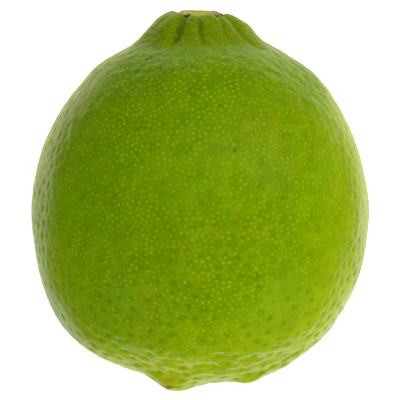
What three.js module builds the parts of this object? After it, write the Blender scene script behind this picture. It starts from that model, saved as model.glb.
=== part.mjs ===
// A whole Persian lime lying on its side: the fruit, one natural solid, and the dry calyx button in the
// hollow of its neck. Millimetres, +Z up. The stem end points along +Y, and the stylar end with its nipple
// along -Y. The origin is under the middle of the outline, on the surface that the lime lies on.
//
// The rind is a star-shaped surface about the middle of the body: each direction from there has one
// radius. A direction is given by its polar angle from the stem axis and its turn about that axis, which
// is 0 on top, 90 degrees at +X and -90 degrees at -X.
import * as THREE from 'three';
import { mergeVertices } from 'three/addons/utils/BufferGeometryUtils.js';

const DEGREE = Math.PI / 180;

// Body
const BODY_RADIUS = 27.5; // at the equator
const BODY_HALF_LENGTH = 30.05; // from the middle to a pole, without the neck
const BODY_LEAN = 0.22; // how far the body is fuller towards +X at the stem and -X at the stylar end
const STYLAR_FLATTENING = { depth: 2.92, from: 121, to: 177.6 }; // angles in degrees from the stem axis
const FLAT_SPOT = { press: 0.7, settle: 0.1 }; // how deep it is pressed in, and how near rind joins it

// Neck: a raised crown round the stem, with a steep wall in front and behind, long flanks at the sides and
// a hollow for the calyx. Angles in degrees from the stem axis. The crown is highest at its turn.
const NECK = { height: 3.4, rim: 6.5, frontFoot: 18, sideFoot: 25, footSlant: 0.3 };
const CROWN = { rise: 0.25, turn: -45 };
const STEM_HOLLOW = { depth: 2, floor: 5.6, rim: 8.2 };

// Furrows down the neck, each a narrow crease in a wide valley: turn at the rim in degrees, depth and the
// crease's half-width in millimetres, the polar angle where it fades out, and how far it has turned there.
const FURROWS = [
  { turn: -88, depth: 0.55, halfWidth: 0.8, reach: 22, drift: -6 },
  { turn: -62, depth: 0.3, halfWidth: 0.6, reach: 20, drift: -6 },
  { turn: -29.5, depth: 1.1, halfWidth: 0.7, reach: 21, drift: -4 },
  { turn: -3, depth: 0.8, halfWidth: 0.42, reach: 18, drift: 4 },
  { turn: 33, depth: 0.4, halfWidth: 0.5, reach: 18, drift: 0 },
  { turn: 53.5, depth: 0.8, halfWidth: 0.6, reach: 26, drift: 9 },
  { turn: 103, depth: 0.5, halfWidth: 0.8, reach: 24, drift: 6 },
  { turn: 128, depth: 0.8, halfWidth: 0.7, reach: 24, drift: 0 },
  { turn: 156, depth: 0.6, halfWidth: 0.6, reach: 21, drift: 0 },
  { turn: 190, depth: 0.8, halfWidth: 0.7, reach: 23, drift: 0 },
  { turn: 232, depth: 0.7, halfWidth: 0.7, reach: 22, drift: 0 },
];
const FURROW_START = { from: 4, to: 10 };
const FURROW_FADE = 12;
const FURROW_DRIFT_START = 10;
const FURROW_VALLEY = { share: 0.45, widening: 2.3 }; // of the depth, and of the crease's half-width
const FURROW_WANDER = { size: 0.2, waves: 7, perRadian: 26, phaseStep: 1.7 };
const NECK_DISTANCE = 33; // from the middle of the body to the neck, to turn angles into widths

// Soft swells and dips of the rind: polar angle, turn and half-width in degrees, height in millimetres
const SWELLS = [
  { name: 'nipple', polar: 157.5, turn: -26, height: 1.98, halfWidth: 8.55 },
  { name: 'lobe beside the nipple', polar: 153.9, turn: 38.4, height: 1, halfWidth: 5.7 },
  { name: 'full stylar end', polar: 168.1, turn: 102.7, height: 1.6, halfWidth: 27.2 },
  { name: 'dip below the lobe', polar: 169.6, turn: 59.7, height: -1.29, halfWidth: 9.35 },
  { name: 'dip outside the nipple', polar: 157.3, turn: -54.9, height: -1.68, halfWidth: 6.95 },
  { name: 'dent at the stylar end', polar: 147.4, turn: -98.5, height: -0.29, halfWidth: 4 },
  { name: 'swell above the lobe', polar: 143.7, turn: 58.7, height: 0.29, halfWidth: 9.75 },
  { name: 'full flank above the nipple', polar: 129.5, turn: -69, height: 0.73, halfWidth: 22.8 },
  { name: 'flat flank', polar: 77, turn: 96, height: -0.15, halfWidth: 19.6 },
  { name: 'shoulder at +X', polar: 38.2, turn: 83, height: 0.54, halfWidth: 7.4 },
  { name: 'shoulder at -X', polar: 34.4, turn: -98.5, height: 0.28, halfWidth: 3.8 },
  { name: 'dip at the foot of the neck', polar: 26, turn: -92, height: -0.14, halfWidth: 3.5 },
  { name: 'dip below the crown', polar: 18.4, turn: 88, height: -0.29, halfWidth: 2.8 },
  { name: 'low crown at +X', polar: 10.3, turn: 85, height: -0.28, halfWidth: 3 },
];

// Gentle unevenness of the whole rind, as a sum of plane waves in evenly spread directions
const UNEVENNESS = { calm: 0.02, body: 0.07, stylar: 0.15, waves: 14, perRadian: 16, phaseStep: 2 };
const GOLDEN_ANGLE = 2.399963;

// Calyx button: a disc with five sepal lobes round a raised scar. The profile runs from the underside to
// the top, as fractions of the radius and heights from the disc's middle.
const CALYX = { radius: 3.5, lobes: 5, lobeDepth: 0.4, lobeTurn: -3 * DEGREE, tipCurl: 0.02 };
const CALYX_MIDDLE = 32.5; // along the stem axis, from the middle of the body
const CALYX_PROFILE = [
  [0, -0.75], [0.38, -0.7], [0.5, -0.35], [0.9, -0.12], [1, 0.04], [0.94, 0.14],
  [0.72, 0.2], [0.53, 0.32], [0.45, 0.44], [0.3, 0.32], [0, 0.26],
];

// Fineness of the faceted solids
const FRUIT_SEGMENTS = 96;
const FRUIT_RINGS = 50;
const RING_CROWDING = 0.3; // 0 spaces the rings evenly, and more crowds them at the poles
const CALYX_SEGMENTS = 40;

function smoothStep(value, from, to) {
  const t = THREE.MathUtils.clamp((value - from) / (to - from), 0, 1);
  return t * t * (3 - 2 * t);
}

// As smoothStep, but with no sudden bend at either end.
function smootherStep(value, from, to) {
  const t = THREE.MathUtils.clamp((value - from) / (to - from), 0, 1);
  return t ** 3 * (t * (6 * t - 15) + 10);
}

function bell(distance, halfWidth) {
  return Math.exp(-((distance / halfWidth) ** 2));
}

function direction(polar, turn) {
  return new THREE.Vector3(
    Math.sin(polar * DEGREE) * Math.sin(turn * DEGREE),
    Math.cos(polar * DEGREE),
    Math.sin(polar * DEGREE) * Math.cos(turn * DEGREE),
  );
}

function bodyRadius(unit, polar) {
  const across = Math.sin(polar * DEGREE);
  const along = Math.cos(polar * DEGREE);
  const egg = (BODY_RADIUS * BODY_HALF_LENGTH) / Math.hypot(BODY_RADIUS * along, BODY_HALF_LENGTH * across);
  const flattening = STYLAR_FLATTENING.depth * smoothStep(polar, STYLAR_FLATTENING.from, STYLAR_FLATTENING.to);
  return egg + BODY_LEAN * unit.x * unit.y - flattening;
}

// An even, random-looking relief: a sum of plane waves in evenly spread directions.
function planeWaves(unit, { waves, perRadian, phaseStep }) {
  let sum = 0;
  for (let wave = 0; wave < waves; wave += 1) {
    const along = 1 - (2 * (wave + 0.5)) / waves;
    const across = Math.sqrt(1 - along * along);
    const course = new THREE.Vector3(
      across * Math.cos(wave * GOLDEN_ANGLE),
      along,
      across * Math.sin(wave * GOLDEN_ANGLE),
    );
    sum += Math.cos(perRadian * unit.dot(course) + wave * phaseStep);
  }
  return sum * Math.sqrt(2 / waves);
}

function neckHeight(polar, turn) {
  const sideways = Math.sin(turn * DEGREE);
  const widening = (NECK.sideFoot - NECK.frontFoot) * sideways ** 2;
  const foot = NECK.frontFoot + widening - NECK.footSlant * sideways;
  const wall = 1 - smootherStep(polar, NECK.rim, foot);
  const rise = CROWN.rise * Math.cos((turn - CROWN.turn) * DEGREE) * smoothStep(polar, 0, NECK.rim);
  const hollow = STEM_HOLLOW.depth * (1 - smoothStep(polar, STEM_HOLLOW.floor, STEM_HOLLOW.rim));
  return wall * (NECK.height + rise) - hollow;
}

function furrowDepth(unit, polar, turn) {
  const start = smoothStep(polar, FURROW_START.from, FURROW_START.to);
  const wander = FURROW_WANDER.size * planeWaves(unit, FURROW_WANDER);
  const { share, widening } = FURROW_VALLEY;
  let depth = 0;
  for (const furrow of FURROWS) {
    const middle = furrow.turn + furrow.drift * smoothStep(polar, FURROW_DRIFT_START, furrow.reach);
    const turnAway = THREE.MathUtils.euclideanModulo(turn - middle + 180, 360) - 180;
    const away = NECK_DISTANCE * Math.sin(polar * DEGREE) * turnAway * DEGREE + wander;
    const crease = (1 - share) * bell(away, furrow.halfWidth);
    const valley = share * bell(away, widening * furrow.halfWidth);
    const fade = 1 - smoothStep(polar, FURROW_FADE, furrow.reach);
    depth += furrow.depth * (crease + valley) * start * fade;
  }
  return depth;
}

function swellHeight(unit) {
  let height = 0;
  for (const swell of SWELLS) {
    const away = unit.angleTo(direction(swell.polar, swell.turn)) / DEGREE;
    height += swell.height * bell(away, swell.halfWidth);
  }
  return height;
}

function unevenness(unit, polar) {
  const { calm, body, stylar } = UNEVENNESS;
  const onBody = calm + (body - calm) * smoothStep(polar, NECK.rim, NECK.sideFoot);
  const strength = onBody + (stylar - body) * smoothStep(polar, 90, 150);
  return strength * planeWaves(unit, UNEVENNESS);
}

function rindPoint(unit) {
  const polar = Math.acos(THREE.MathUtils.clamp(unit.y, -1, 1)) / DEGREE;
  const turn = Math.atan2(unit.x, unit.z) / DEGREE;
  const radius = bodyRadius(unit, polar) + neckHeight(polar, turn) - furrowDepth(unit, polar, turn)
    + swellHeight(unit) + unevenness(unit, polar);
  const point = unit.clone().multiplyScalar(radius);
  const floor = FLAT_SPOT.press - BODY_RADIUS;
  if (point.z < floor + FLAT_SPOT.settle) point.z = floor;
  return point;
}

// Moves the rings of a unit sphere towards its poles, where the neck and the nipple need them.
function crowdRings(unit) {
  const step = Math.acos(THREE.MathUtils.clamp(unit.y, -1, 1)) / Math.PI;
  const polar = Math.PI * step - RING_CROWDING * Math.sin(2 * Math.PI * step);
  const turn = Math.atan2(unit.x, unit.z);
  return direction(polar / DEGREE, turn / DEGREE);
}

function mergedGeometry(geometry) {
  geometry.deleteAttribute('normal');
  geometry.deleteAttribute('uv');
  return mergeVertices(geometry);
}

function fruitGeometry() {
  const geometry = mergedGeometry(new THREE.SphereGeometry(1, FRUIT_SEGMENTS, FRUIT_RINGS));
  const position = geometry.getAttribute('position');
  for (let index = 0; index < position.count; index += 1) {
    const unit = new THREE.Vector3().fromBufferAttribute(position, index).normalize();
    const point = rindPoint(crowdRings(unit));
    position.setXYZ(index, point.x, point.y, point.z);
  }
  geometry.computeVertexNormals();
  return geometry;
}

function calyxGeometry() {
  const profile = CALYX_PROFILE.map(([across, height]) => new THREE.Vector2(across, height));
  const geometry = mergedGeometry(new THREE.LatheGeometry(profile, CALYX_SEGMENTS));
  const position = geometry.getAttribute('position');
  for (let index = 0; index < position.count; index += 1) {
    const point = new THREE.Vector3().fromBufferAttribute(position, index);
    const across = Math.hypot(point.x, point.z);
    const lobe = Math.cos(CALYX.lobes * (Math.atan2(point.x, point.z) - CALYX.lobeTurn));
    const reach = CALYX.radius + CALYX.lobeDepth * lobe * across ** 2;
    const curl = CALYX.tipCurl * lobe * across ** 3;
    position.setXYZ(index, point.x * reach, point.y + curl, point.z * reach);
  }
  geometry.computeVertexNormals();
  return geometry;
}

function makeFruit() {
  const rind = new THREE.MeshStandardMaterial({ color: 0x729208, roughness: 0.35, metalness: 0 });
  const fruit = new THREE.Mesh(fruitGeometry(), rind);
  fruit.name = 'fruit';
  return fruit;
}

function makeCalyx() {
  const wood = new THREE.MeshStandardMaterial({ color: 0xb5a55f, roughness: 0.75, metalness: 0 });
  const calyx = new THREE.Mesh(calyxGeometry(), wood);
  calyx.name = 'calyx';
  calyx.position.y = CALYX_MIDDLE;
  return calyx;
}

const lime = new THREE.Group();
lime.add(makeFruit(), makeCalyx());

// Sets the lime down with the middle of its outline over the origin.
const outline = new THREE.Box3().setFromObject(lime, true);
const middle = outline.getCenter(new THREE.Vector3());
lime.position.set(-middle.x, -middle.y, -outline.min.z);

export default lime;
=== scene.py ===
"""A whole Persian lime lying on its side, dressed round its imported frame.

Two pieces are made here: the rind, with its ribbed neck, nipple, pits and oil glands, and the dry calyx
button in the hollow of the neck. Their sizes are millimetres and degrees, and meshes are metres.
"""

import logging
import math
from dataclasses import dataclass, field
from enum import Enum

import bpy
import numpy as np
from mathutils import Matrix, Vector
from mathutils import noise as space_noise
from mathutils.kdtree import KDTree


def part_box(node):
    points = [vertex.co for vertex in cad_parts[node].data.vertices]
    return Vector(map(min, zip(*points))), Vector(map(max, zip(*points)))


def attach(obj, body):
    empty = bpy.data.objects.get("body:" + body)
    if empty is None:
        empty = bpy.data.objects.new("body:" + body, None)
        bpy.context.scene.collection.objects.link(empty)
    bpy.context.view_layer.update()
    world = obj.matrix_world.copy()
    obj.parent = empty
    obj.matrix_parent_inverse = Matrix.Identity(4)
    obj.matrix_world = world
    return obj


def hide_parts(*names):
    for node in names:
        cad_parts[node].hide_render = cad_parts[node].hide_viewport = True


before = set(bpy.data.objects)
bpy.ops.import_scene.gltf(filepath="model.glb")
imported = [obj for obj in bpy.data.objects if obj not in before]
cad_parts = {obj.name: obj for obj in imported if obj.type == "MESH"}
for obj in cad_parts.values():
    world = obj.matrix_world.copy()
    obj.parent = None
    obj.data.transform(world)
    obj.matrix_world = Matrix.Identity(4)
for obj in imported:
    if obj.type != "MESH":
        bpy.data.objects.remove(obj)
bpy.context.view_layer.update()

logging.basicConfig(level=logging.INFO, format="%(message)s")
log = logging.getLogger("lime")

MM = 0.001
GOLDEN_ANGLE = 2.399963
TINY = 1e-9
WHITE = (1.0, 1.0, 1.0, 1.0)

# A display colour, with levels of 0 to 255, and a linear colour with its alpha.
Colour = tuple[int, int, int]
Tint = tuple[float, float, float, float]

# A smooth change: where it starts and ends, and the values there if they aren't 0 and 1.
Course = tuple[float, ...]


class Node(Enum):
    """The solids of the frame that the pieces stand for."""

    FRUIT = "fruit"
    CALYX = "calyx"


class Slot(Enum):
    """The material slots of the record."""

    RIND = "rind"
    CALYX = "calyx_button"


def ramp(
    value: np.ndarray | float, low: float, high: float, start: float = 0.0, end: float = 1.0
) -> np.ndarray | float:
    """Goes smoothly from start, at values up to low, to end, at values from high on."""
    t = np.clip((value - low) / (high - low), 0.0, 1.0)
    return start + (end - start) * (t * t * (3.0 - 2.0 * t))


def smoother_step(value: np.ndarray, start: float | np.ndarray, end: float | np.ndarray) -> np.ndarray:
    """Rises from 0, at values up to start, to 1 at end, with no sudden bend at either."""
    t = np.clip((value - start) / (end - start), 0.0, 1.0)
    return t**3 * (t * (6.0 * t - 15.0) + 10.0)


def bell(distance: np.ndarray | float, half_width: float) -> np.ndarray | float:
    """Falls from 1 at no distance, through 1/e at the half-width, to 0."""
    return np.exp(-((distance / half_width) ** 2))


def direction(polar: float, turn: float) -> np.ndarray:
    """Gives the unit direction at degrees from the stem axis and degrees about it, from the top to +X."""
    p, t = math.radians(polar), math.radians(turn)
    return np.array([math.sin(p) * math.sin(t), math.cos(p), math.sin(p) * math.cos(t)])


def degrees_from(unit: np.ndarray, target: np.ndarray) -> np.ndarray:
    """Gives the angle between each unit direction and a target direction, in degrees."""
    return np.degrees(np.arccos(np.clip(unit @ target, -1.0, 1.0)))


def polar_degrees(unit: np.ndarray) -> np.ndarray:
    """Gives the angle of each unit direction from the stem axis, in degrees."""
    return np.degrees(np.arccos(np.clip(unit[:, 1], -1.0, 1.0)))


def turn_radians(unit: np.ndarray) -> np.ndarray:
    """Gives the angle of each direction about the stem axis, in radians from the top towards +X."""
    return np.arctan2(unit[:, 0], unit[:, 2])


def linear(colour: Colour) -> Tint:
    """Turns a display colour into a linear colour with full alpha.

    Args:
        colour: its red, green and blue levels.

    Returns:
        The linear colour.
    """
    shares = [level / 255.0 for level in colour]
    red, green, blue = (s / 12.92 if s <= 0.04045 else ((s + 0.055) / 1.055) ** 2.4 for s in shares)
    return (red, green, blue, 1.0)


@dataclass(frozen=True)
class Furrow:
    """A groove down the neck: its turn at the rim, size, where it fades out and how far it has turned."""

    turn: float
    depth: float
    half_width: float
    reach: float
    drift: float


@dataclass(frozen=True)
class Swell:
    """A soft swell or dip of the rind: polar angle, turn and half-width in degrees, and its height."""

    polar: float
    turn: float
    height: float
    half_width: float


@dataclass
class RindForm:
    """The star-shaped surface of the fruit, in millimetres from the middle of the body."""

    body_radius: float = 27.5
    body_half_length: float = 30.05
    body_lean: float = 0.22
    stylar_flattening: float = 2.92
    stylar_course: Course = (121.0, 177.6)
    resting_press: float = 0.7
    neck_height: float = 3.4
    neck_rim: float = 6.5
    neck_front_foot: float = 18.0
    neck_side_foot: float = 25.0
    foot_slant: float = 0.3
    crown_rise: float = 0.25
    crown_turn: float = -45.0
    neck_distance: float = 33.0
    hollow_depth: float = 2.0
    hollow_wall: Course = (5.6, 8.2)
    neck_unevenness: float = 0.02
    body_unevenness: float = 0.05
    stylar_unevenness: Course = (90.0, 150.0, 0.0, 0.08)
    furrow_start: Course = (4.0, 10.0)
    furrow_valley: tuple[float, float] = (0.45, 2.3)
    furrow_wander: float = 0.2
    furrow_fade: float = 12.0
    furrow_drift_start: float = 10.0
    furrows: tuple[Furrow, ...] = (
        Furrow(-88, 0.55, 0.8, 22, -6),
        Furrow(-62, 0.3, 0.6, 20, -6),
        Furrow(-29.5, 1.1, 0.7, 21, -4),
        Furrow(-3, 0.8, 0.42, 18, 4),
        Furrow(33, 0.65, 0.45, 20, 3),
        Furrow(53.5, 0.8, 0.6, 26, 9),
        Furrow(103, 0.5, 0.8, 24, 6),
        Furrow(128, 0.8, 0.7, 24, 0),
        Furrow(156, 0.6, 0.6, 21, 0),
        Furrow(190, 0.8, 0.7, 23, 0),
        Furrow(232, 0.7, 0.7, 22, 0),
    )
    swells: tuple[Swell, ...] = (
        Swell(157.5, -26.0, 1.98, 8.55),
        Swell(153.9, 38.4, 1.0, 5.7),
        Swell(168.1, 102.7, 1.6, 27.2),
        Swell(169.6, 59.7, -1.29, 9.35),
        Swell(157.3, -54.9, -1.68, 6.95),
        Swell(147.4, -98.5, -0.29, 4.0),
        Swell(143.7, 58.7, 0.29, 9.75),
        Swell(129.5, -69.0, 0.73, 22.8),
        Swell(77.0, 96.0, -0.15, 19.6),
        Swell(38.2, 83.0, 0.54, 7.4),
        Swell(34.4, -98.5, 0.28, 3.8),
        Swell(26.0, -92.0, -0.14, 3.5),
        Swell(18.4, 88.0, -0.29, 2.8),
        Swell(10.3, 85.0, -0.28, 3.0),
    )
    shoulder: tuple[Swell, ...] = (
        Swell(131.5, -8.0, 0.26, 6.0),
        Swell(131.5, 4.0, 0.26, 6.0),
        Swell(132.0, 16.0, 0.26, 6.0),
        Swell(142.0, -4.0, -0.28, 6.5),
        Swell(142.0, 12.0, -0.28, 6.5),
        Swell(147.0, -27.5, -0.14, 2.4),
        Swell(148.2, -21.0, -0.14, 2.4),
        Swell(149.0, -14.0, -0.12, 2.4),
    )

    def body(self, unit: np.ndarray, polar: np.ndarray) -> np.ndarray:
        """Gives the egg-shaped body with its lean and its flattened stylar end.

        Args:
            unit: unit directions, one to a row.
            polar: their degrees from the stem axis.

        Returns:
            A radius in millimetres for each direction.
        """
        across = np.sin(np.radians(polar))
        along = np.cos(np.radians(polar))
        length = np.hypot(self.body_radius * along, self.body_half_length * across)
        flattening = self.stylar_flattening * ramp(polar, *self.stylar_course)
        egg = self.body_radius * self.body_half_length / length
        return egg + self.body_lean * unit[:, 0] * unit[:, 1] - flattening

    def neck(self, polar: np.ndarray, turn: np.ndarray) -> np.ndarray:
        """Gives the height of the neck above the body, with the hollow that holds the calyx.

        Args:
            polar: degrees from the stem axis.
            turn: degrees about it.

        Returns:
            A height in millimetres for each direction.
        """
        sideways = np.sin(np.radians(turn))
        widening = (self.neck_side_foot - self.neck_front_foot) * sideways**2
        foot = self.neck_front_foot + widening - self.foot_slant * sideways
        wall = 1.0 - smoother_step(polar, self.neck_rim, foot)
        upper = np.cos(np.radians(turn - self.crown_turn))
        rise = self.crown_rise * upper * ramp(polar, 0.0, self.neck_rim)
        hollow = self.hollow_depth * (1.0 - ramp(polar, *self.hollow_wall))
        return wall * (self.neck_height + rise) - hollow

    def furrow_depth(self, unit: np.ndarray, polar: np.ndarray, turn: np.ndarray) -> np.ndarray:
        """Gives how deep the furrows of the neck cut into it: each a narrow crease in a wide valley.

        Args:
            unit: unit directions, one to a row.
            polar: their degrees from the stem axis.
            turn: their degrees about it.

        Returns:
            A depth in millimetres for each direction.
        """
        start = ramp(polar, *self.furrow_start)
        wander = self.furrow_wander * plane_waves(unit, count=7, per_radian=26.0, phase_step=1.7)
        share, widening = self.furrow_valley
        depth = np.zeros_like(polar)
        for furrow in self.furrows:
            drift = furrow.drift * ramp(polar, self.furrow_drift_start, furrow.reach)
            turn_away = (turn - furrow.turn - drift + 180.0) % 360.0 - 180.0
            away = self.neck_distance * np.sin(np.radians(polar)) * np.radians(turn_away) + wander
            crease = (1.0 - share) * bell(away, furrow.half_width)
            valley = share * bell(away, widening * furrow.half_width)
            fade = 1.0 - ramp(polar, self.furrow_fade, furrow.reach)
            depth += furrow.depth * (crease + valley) * start * fade
        return depth

    def swelling(self, unit: np.ndarray) -> np.ndarray:
        """Adds up the swells and dips of the rind.

        Args:
            unit: unit directions, one to a row.

        Returns:
            A height in millimetres for each direction.
        """
        height = np.zeros(len(unit))
        for swell in self.swells + self.shoulder:
            away = degrees_from(unit, direction(swell.polar, swell.turn))
            height += swell.height * bell(away, swell.half_width)
        return height

    def unevenness(self, unit: np.ndarray, polar: np.ndarray) -> np.ndarray:
        """Gives the gentle unevenness of the rind, stronger towards the stylar end.

        Args:
            unit: unit directions, one to a row.
            polar: their degrees from the stem axis.

        Returns:
            A height in millimetres for each direction.
        """
        on_body = ramp(polar, self.neck_rim, self.neck_side_foot, 0.0, self.body_unevenness)
        strength = self.neck_unevenness + on_body + ramp(polar, *self.stylar_unevenness)
        return strength * plane_waves(unit, count=14, per_radian=16.0, phase_step=2.0)

    def radius(self, unit: np.ndarray) -> np.ndarray:
        """Gives the distance of the rind from the middle of the body.

        Args:
            unit: unit directions, one to a row.

        Returns:
            A radius in millimetres for each direction.
        """
        polar = polar_degrees(unit)
        turn = np.degrees(turn_radians(unit))
        smooth = self.body(unit, polar) + self.neck(polar, turn) + self.swelling(unit)
        return smooth - self.furrow_depth(unit, polar, turn) + self.unevenness(unit, polar)


def plane_waves(unit: np.ndarray, count: int, per_radian: float, phase_step: float) -> np.ndarray:
    """Sums plane waves in evenly spread directions into an even, random-looking relief.

    Args:
        unit: unit directions, one to a row.
        count: how many waves there are.
        per_radian: radians of each wave in one radian of the sphere.
        phase_step: how far the phase moves on from one wave to the next.

    Returns:
        A height for each direction, about 1 in its root mean square.
    """
    total = np.zeros(len(unit))
    for wave in range(count):
        along = 1.0 - 2.0 * (wave + 0.5) / count
        across = math.sqrt(1.0 - along * along)
        angle = wave * GOLDEN_ANGLE
        heading = np.array([across * math.cos(angle), along, across * math.sin(angle)])
        total += np.cos(per_radian * (unit @ heading) + wave * phase_step)
    return total * math.sqrt(2.0 / count)


def fractal(points: np.ndarray) -> np.ndarray:
    """Gives two octaves of smooth noise at each point, about -1 to 1."""
    return np.array([space_noise.fractal(point, 1.0, 2.0, 2) for point in points.tolist()])


@dataclass(frozen=True)
class Scatter:
    """Points spread evenly but without order over the rind."""

    spacing: float
    seed: int
    rounds: int = 6
    push: float = 0.35
    slack: float = 1.08
    neighbours: int = 7
    area_share: float = 0.866

    def directions(self, sphere_radius: float) -> np.ndarray:
        """Lets seeded random points push each other apart until they are evenly spread.

        Args:
            sphere_radius: the size of the sphere on which the spacing holds.

        Returns:
            Unit directions, one to a row.
        """
        spacing = self.spacing / sphere_radius
        count = int(4.0 * math.pi / (self.area_share * spacing**2))
        points = np.random.default_rng(self.seed).normal(size=(count, 3))
        points /= np.linalg.norm(points, axis=1, keepdims=True)
        for _ in range(self.rounds):
            near = nearest(points, points, self.neighbours)[:, 1:]
            apart = points[:, None, :] - points[near]
            distance = np.linalg.norm(apart, axis=2, keepdims=True) + TINY
            shortfall = np.clip(spacing * self.slack - distance, 0.0, None)
            points = points + self.push * (apart / distance * shortfall).sum(axis=1)
            points /= np.linalg.norm(points, axis=1, keepdims=True)
        return points


def nearest(points: np.ndarray, queries: np.ndarray, count: int = 1) -> np.ndarray:
    """Finds the nearest points to each query.

    Args:
        points: the points searched, one to a row.
        queries: the places asked about, one to a row.
        count: how many to find for each.

    Returns:
        Their row numbers, nearest first, one row to each query.
    """
    tree = KDTree(len(points))
    for index, point in enumerate(points):
        tree.insert(point, index)
    tree.balance()
    if count == 1:
        return np.array([tree.find(query)[1] for query in queries])
    return np.array([[hit[1] for hit in tree.find_n(query, count)] for query in queries])


@dataclass(frozen=True)
class Cloud:
    """A cloudy pattern: its scale per millimetre, detail and roughness, and the course over its noise."""

    scale: float
    detail: float
    roughness: float
    course: Course


class Graph:
    """Adds and links the shader nodes of one tree."""

    def __init__(self, tree: bpy.types.NodeTree) -> None:
        """Empties the node tree of a material or a world, and keeps it."""
        self.tree = tree
        self.tree.nodes.clear()

    def add(self, kind: str, inputs: dict | None = None, **settings: object) -> bpy.types.Node:
        """Adds a node, sets its properties and fills or links its inputs.

        Args:
            kind: the node's type name.
            inputs: input names or numbers, with a value or an output socket for each.
            **settings: properties of the node.

        Returns:
            The new node.
        """
        node = self.tree.nodes.new(kind)
        for name, value in settings.items():
            setattr(node, name, value)
        for name, value in (inputs or {}).items():
            if isinstance(value, bpy.types.NodeSocket):
                self.tree.links.new(value, node.inputs[name])
            else:
                node.inputs[name].default_value = value
        return node

    def math(self, operation: str, first: object, second: object = 0.0) -> bpy.types.NodeSocket:
        """Adds a Math node and gives its output."""
        return self.add("ShaderNodeMath", {0: first, 1: second}, operation=operation).outputs[0]

    def times(self, first: object, second: object) -> bpy.types.NodeSocket:
        """Multiplies two numbers or sockets."""
        return self.math("MULTIPLY", first, second)

    def sum(self, *terms: object) -> bpy.types.NodeSocket:
        """Adds up sockets.

        Args:
            *terms: the sockets.

        Returns:
            Their sum.
        """
        total = terms[0]
        for term in terms[1:]:
            total = self.math("ADD", total, term)
        return total

    def vector(self, operation: str, first: object, second: object) -> bpy.types.Node:
        """Adds a Vector Math node and gives it."""
        return self.add("ShaderNodeVectorMath", {0: first, 1: second}, operation=operation)

    def distance(self, first: object, second: object) -> bpy.types.NodeSocket:
        """Gives the distance between two places."""
        return self.vector("DISTANCE", first, second).outputs["Value"]

    def ramp(
        self, value: object, low: float, high: float, start: float = 0.0, end: float = 1.0
    ) -> bpy.types.NodeSocket:
        """Maps value from low..high smoothly to start..end, and gives the result."""
        inputs = {"Value": value, "From Min": low, "From Max": high, "To Min": start, "To Max": end}
        return self.add("ShaderNodeMapRange", inputs, interpolation_type="SMOOTHSTEP").outputs[0]

    def mix(
        self, factor: object, first: object, second: object, blend: str = "MIX"
    ) -> bpy.types.NodeSocket:
        """Mixes two colours by a factor.

        Args:
            factor: how much of the second colour there is.
            first: the colour under it.
            second: the colour laid over it.
            blend: how the second is laid on the first.

        Returns:
            The mixed colour.
        """
        node = self.add("ShaderNodeMix", data_type="RGBA", blend_type=blend)
        for name, value in (("Factor_Float", factor), ("A_Color", first), ("B_Color", second)):
            socket = next(s for s in node.inputs if s.identifier == name)
            if isinstance(value, bpy.types.NodeSocket):
                self.tree.links.new(value, socket)
            else:
                socket.default_value = value
        return next(s for s in node.outputs if s.identifier == "Result_Color")

    def attribute(self, name: str) -> bpy.types.Node:
        """Adds a node that reads an attribute of the mesh."""
        return self.add("ShaderNodeAttribute", attribute_type="GEOMETRY", attribute_name=name)

    def principled(self, inputs: dict) -> None:
        """Adds the material's shader with its inputs, and links it to a material output."""
        shader = self.add("ShaderNodeBsdfPrincipled", inputs)
        self.add("ShaderNodeOutputMaterial", {"Surface": shader.outputs[0]})


class PieceGraph(Graph):
    """The graph of a piece's material, with the sockets that say where the shaded point is."""

    def __init__(self, name: str, middle: Vector) -> None:
        """Makes an empty material, and reads the point in metres and from the middle in millimetres.

        Args:
            name: what the material is called.
            middle: the middle of the piece, in metres.
        """
        self.material = bpy.data.materials.new(name)
        self.material.use_nodes = True
        super().__init__(self.material.node_tree)
        self.place = self.add("ShaderNodeTexCoord").outputs["Object"]
        inputs = {0: self.vector("SUBTRACT", self.place, middle).outputs[0], "Scale": 1.0 / MM}
        self.in_mm = self.add("ShaderNodeVectorMath", inputs, operation="SCALE").outputs[0]
        split = self.add("ShaderNodeSeparateXYZ", {0: self.in_mm})
        self.side, self.along = split.outputs[0], split.outputs[1]

    def noise(self, scale: float, detail: float = 2.0, roughness: float = 0.5) -> bpy.types.NodeSocket:
        """Adds a noise texture over the piece and gives its height."""
        inputs = {"Vector": self.in_mm, "Scale": scale, "Detail": detail, "Roughness": roughness}
        return self.add("ShaderNodeTexNoise", inputs).outputs["Fac"]

    def cloud(self, cloud: Cloud) -> bpy.types.NodeSocket:
        """Adds a cloudy pattern and gives its strength."""
        return self.ramp(self.noise(cloud.scale, cloud.detail, cloud.roughness), *cloud.course)


@dataclass(frozen=True)
class Spot:
    """A small mark on the rind: where it is, its radius in millimetres, its colour and how strong it is."""

    polar: float
    turn: float
    radius: float
    colour: Colour
    strength: float


@dataclass(frozen=True)
class PaintedLightPatch:
    """A broad soft patch of painted light and shade on the rind, partly its own tone: its place, reach,
    tint and gloss.
    """

    polar: float
    turn: float
    reach: float
    red: float
    green: float
    gloss: float = 1.0


OLIVE = (176, 172, 22)
AMBER = (186, 164, 16)
SCAR_BROWN = (116, 66, 34)
# Painted glints: pale specks that stand for small highlights on the rind.
PAINTED_GLINT = (192, 206, 88)
FAINT_GLINT = (166, 190, 58)
FAINT_BROWN = (150, 138, 20)
SPECK_DARK = (76, 104, 0)

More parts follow.
